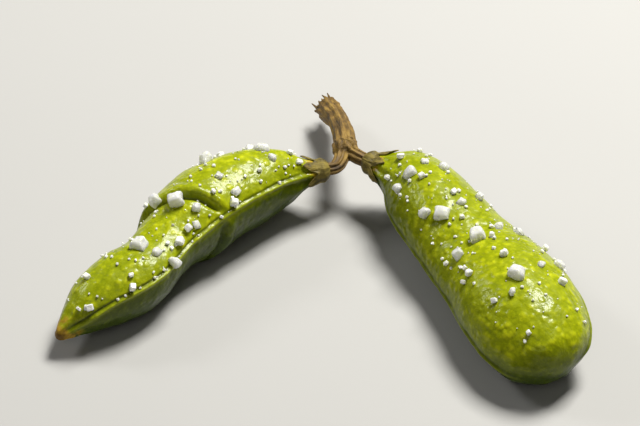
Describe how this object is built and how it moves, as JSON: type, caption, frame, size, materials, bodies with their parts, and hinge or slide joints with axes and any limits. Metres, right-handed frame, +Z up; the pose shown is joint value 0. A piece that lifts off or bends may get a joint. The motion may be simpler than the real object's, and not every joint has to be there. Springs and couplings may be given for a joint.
{
  "type": "edamame branch",
  "caption": "Short brown twig carrying plump green soybean pods in dried calyxes, sprinkled with coarse salt crystals, lying on a flat surface as food.",
  "frame": {"origin": "on the surface that the branch lies on, under the middle of its bounding box", "axes": "+X from the left pod to the right pod, +Y towards the torn end of the twig, +Z up"},
  "size_m": [0.0624, 0.0528, 0.0119],
  "materials": {
    "pod": "satin",
    "calyx": "matte",
    "twig": "matte",
    "salt": "gloss"
  },
  "bodies": {
    "root": {"pod_right": "pod", "pod_left": "pod", "calyx_right": "calyx", "calyx_left": "calyx", "twig": "twig", "salt_right_01": "salt", "salt_right_02": "salt", "salt_right_03": "salt", "salt_right_04": "salt", "salt_right_05": "salt", "salt_right_06": "salt", "salt_right_07": "salt", "salt_right_08": "salt", "salt_right_09": "salt", "salt_right_10": "salt", "salt_right_11": "salt", "salt_right_12": "salt", "salt_right_13": "salt", "salt_right_14": "salt", "salt_right_15": "salt", "salt_left_01": "salt", "salt_left_02": "salt", "salt_left_03": "salt", "salt_left_04": "salt", "salt_left_05": "salt", "salt_left_06": "salt", "salt_left_07": "salt", "salt_left_08": "salt", "salt_left_09": "salt", "salt_left_10": "salt", "salt_left_11": "salt", "salt_left_12": "salt", "salt_left_13": "salt"}
  },
  "joints": []
}
